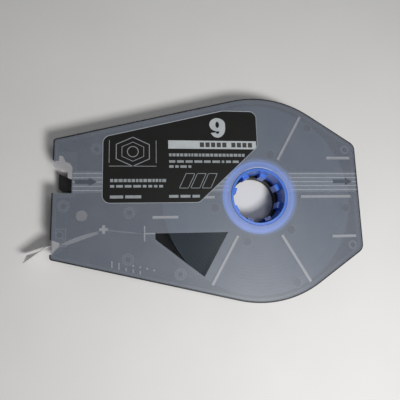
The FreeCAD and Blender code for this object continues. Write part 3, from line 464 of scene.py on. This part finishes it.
def end_print(piece, material):
    """Gives the flat shapes their thickness of ink."""
    bpy.ops.mesh.select_all(action="SELECT")
    bpy.ops.mesh.normals_make_consistent(inside=False)
    bpy.ops.object.mode_set(mode="OBJECT")
    take(piece)
    modifier = piece.modifiers.new("thickness", "SOLIDIFY")
    modifier.thickness = INK_THICK * MM
    modifier.offset = 0
    bpy.ops.object.modifier_apply(modifier=modifier.name)
    wear(piece, material)
    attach(piece, "case")
    return piece


def slab(x, y, length, width, angle=0.0, level=INK_LOW):
    """A rectangle of ink about its middle, turned by an angle, in millimetres."""
    centre = (x * MM, y * MM, level * MM)
    bpy.ops.mesh.primitive_plane_add(size=MM, location=centre)
    bpy.ops.transform.resize(value=(length, width, 1), center_override=centre)
    if angle:
        bpy.ops.transform.rotate(value=-angle, orient_axis="Z", center_override=centre)


def block(left, right, low, high, level=INK_LOW):
    """A rectangle of ink between its sides, in millimetres."""
    slab((left + right) / 2, (low + high) / 2, right - left, high - low, 0.0, level)


def stroke(start, end, width, level=INK_LOW):
    """A straight ink line between two points, in millimetres."""
    run = Vector(end) - Vector(start)
    middle = (Vector(end) + Vector(start)) / 2
    slab(middle.x, middle.y, run.length + width * 0.8, width, math.atan2(run.y, run.x), level)


def ring(x, y, radius, width, corners=40, stretch=1.0, hole=1.0, level=INK_LOW):
    """An outline with any number of corners, in millimetres. hole narrows the opening."""
    centre = (x * MM, y * MM, level * MM)
    bpy.ops.mesh.primitive_circle_add(vertices=corners, radius=radius * MM, fill_type="NGON", location=centre)
    bpy.ops.transform.resize(value=(stretch, 1, 1), center_override=centre)
    bpy.ops.mesh.inset(thickness=width * MM)
    bpy.ops.transform.resize(value=(hole, 1, 1), center_override=centre)
    bpy.ops.mesh.delete(type="FACE")


def words(left, right, low, height, seed, gap=0.7, shortest=1.0, longest=3.4):
    """A line of small print as word-long bars of even height."""
    dice = random.Random(seed)
    at = left
    while at < right - shortest:
        end = min(at + dice.uniform(shortest, longest), right)
        block(at, end, low, low + height)
        at = end + gap


def make_bar():
    """The silver bar, its right end cut aslant along the label's edge."""
    piece = begin_print("label_bar")
    block(-37.3, -0.45, 20.0, 23.5)
    bpy.ops.mesh.select_all(action="SELECT")
    bpy.ops.mesh.bisect(plane_co=(-0.3 * MM, 20.9 * MM, 0), plane_no=(math.sin(math.radians(47)),
                        -math.cos(math.radians(47)), 0), use_fill=False, clear_outer=True)
    return end_print(piece, INK)


def make_bar_blocks():
    """Plain dark blocks on the bar, in two groups."""
    piece = begin_print("label_bar_blocks")
    at = -24.3
    for group, gap in ((5, 1.5), (4, 0)):
        for _ in range(group):
            block(at, at + 1.75, 20.75, 22.75, INK_LOW + 0.02)
            at += 2.35
        at += gap
    return end_print(piece, BLACK_INK)


def trim(x, y, angle):
    """Cuts away what is shown and lies beyond a line through a point, on the side that the angle faces."""
    bpy.ops.mesh.select_all(action="SELECT")
    bpy.ops.mesh.bisect(plane_co=(x * MM, y * MM, 0), plane_no=(math.cos(math.radians(angle)),
                        math.sin(math.radians(angle)), 0), clear_outer=True)


def put_by():
    """Hides what is drawn so far, so that the next cut spares it."""
    bpy.ops.mesh.select_all(action="SELECT")
    bpy.ops.mesh.hide()


def make_numeral():
    """The width number of the tape, printed large: a bowl, a back and a hook."""
    piece = begin_print("label_numeral")
    middle, low, high, half = -16.75, 24.9, 33.4, 3.35
    tall = (high - low) / 2
    bowl = 2.9
    ring(middle, low + tall, tall, 1.6, 48, half / tall, 0.62)
    trim(middle, 0, 180)
    put_by()
    ring(middle, low + tall, tall, 1.6, 48, half / tall, 0.62, INK_LOW + 0.003)
    trim(middle, 0, 0)
    trim(middle, low + 2.3, 96)
    put_by()
    ring(middle, high - bowl, bowl, 1.5, 48, half / bowl, 0.42, INK_LOW + 0.006)
    bpy.ops.mesh.reveal()
    return end_print(piece, INK)


def make_small_print():
    """Seven lines of small print: left, right, low side, height, seed and the lengths of gaps and bars."""
    piece = begin_print("label_small_print")
    words(-37.0, -5.6, 16.75, 1.25, 3, 0.35, 0.8, 1.7)
    words(-37.0, -8.2, 14.1, 1.0, 5)
    words(-37.0, -26.6, 12.0, 1.0, 7)
    words(-60.3, -38.0, 6.1, 1.25, 11, 0.35, 0.8, 1.7)
    words(-60.3, -38.2, 3.9, 1.0, 13)
    words(-60.3, -44.7, -0.45, 1.2, 17, 0.8, 3.0, 7.0)
    words(-37.2, -24.8, -0.3, 1.1, 19, 0.8, 2.0, 4.6)
    return end_print(piece, THIN_INK)


def make_signs():
    """Two generic line signs: a six-sided plate with a round hole, and a row of slanted strips."""
    piece = begin_print("label_signs")
    ring(-51.5, 18.6, 6.2, 0.3, 6, 1.25)
    ring(-51.5, 18.6, 2.3, 0.3)
    ring(-51.5, 18.6, 4.1, 0.22, 6, 1.25)
    for left in (-60.8, -42.2):
        stroke((left, 14.0), (left, 23.2), 0.22)
    stroke((-60.8, 12.6), (-42.2, 12.6), 0.22)
    for step in range(3):
        left = -33.0 + step * 4.6
        stroke((left, 3.6), (left + 3.6, 3.6), 0.22)
        stroke((left + 3.6, 3.6), (left + 6.4, 9.6), 0.22)
        stroke((left + 6.4, 9.6), (left + 2.8, 9.6), 0.22)
        stroke((left + 2.8, 9.6), (left, 3.6), 0.22)
    return end_print(piece, THIN_INK)


def place_camera():
    """The camera, fitted to the outline of the case in the photograph."""
    data = bpy.data.cameras.new("camera")
    camera = bpy.data.objects.new("camera", data)
    bpy.context.scene.collection.objects.link(camera)
    camera.location = (-0.04102, -0.02194, 0.15183)
    camera.rotation_euler = (0.150337, -0.113296, -0.025179)
    data.sensor_width = 36
    data.lens = 31.36
    data.clip_start = 0.005
    bpy.context.scene.camera = camera


def place_lamp(name, towards, distance, size, power):
    """A square soft panel that looks at the middle of the case."""
    data = bpy.data.lights.new(name, "AREA")
    data.shape = "SQUARE"
    data.size = size
    data.energy = power
    lamp = bpy.data.objects.new(name, data)
    bpy.context.scene.collection.objects.link(lamp)
    middle = Vector((-0.02, 0, 0.01))
    direction = Vector(towards).normalized()
    lamp.location = middle + direction * distance
    lamp.rotation_euler = direction.to_track_quat("Z", "Y").to_euler()


def make_world():
    """Even light from all round, and a pale backdrop where the camera, gloss and glass look past the floor."""
    world = bpy.data.worlds.new("studio")
    bpy.context.scene.world = world
    world.use_nodes = True
    tree = world.node_tree
    tree.nodes.clear()
    rays = add_node(tree, "ShaderNodeLightPath").outputs
    seen = add_node(tree, "ShaderNodeMath", links={0: rays["Is Camera Ray"], 1: rays["Is Glossy Ray"]},
                    operation="MAXIMUM")
    seen = add_node(tree, "ShaderNodeMath", links={0: seen.outputs["Value"], 1: rays["Is Transmission Ray"]},
                    operation="MAXIMUM")
    fill = add_node(tree, "ShaderNodeBackground", {"Color": linear("FAFBFF"), "Strength": 0.15})
    backdrop = add_node(tree, "ShaderNodeBackground", {"Color": linear("D2D2D0"), "Strength": 1.0})
    mixed = add_node(tree, "ShaderNodeMixShader",
                     links={0: seen.outputs["Value"], 1: fill.outputs[0], 2: backdrop.outputs[0]})
    add_node(tree, "ShaderNodeOutputWorld", links={"Surface": mixed.outputs[0]})


def make_floor():
    """A sheet of pale matt board, a hair under the case so that the two faces don't coincide."""
    bpy.ops.object.select_all(action="DESELECT")
    bpy.ops.mesh.primitive_plane_add(size=3.0, location=(0, 0, -0.02 * MM))
    floor = bpy.context.object
    floor.name = "floor"
    wear(floor, moulded("pale_matt_board", "D8D7D5", "DBDAD8", 40.0, 0.6, 0.01, 0.7, **{"Specular IOR Level": 0.2}))


for node, material in (("bottom_tray", BLACK), ("label_panel", FILM), ("reel_core", BLUE),
                       ("tape_roll", WOUND)):
    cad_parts[node].material_slots[0].material = material

make_cover()
make_lead()
make_seam("weld_seam", COVER_UNDER, WELD, False)
make_seam("socket_rings", SOCKET_TOP, SOCKET_EDGE, True)
make_bead()
make_bar()
make_bar_blocks()
make_numeral()
make_small_print()
make_signs()

place_camera()
place_lamp("key_panel", (0.29, -0.45, 0.845), 0.32, 0.07, 0.84)
place_lamp("sheen_panel", (0.265, -0.035, 0.963), 0.45, 0.08, 0.25)
make_world()
make_floor()
bpy.context.scene.view_settings.view_transform = "Standard"
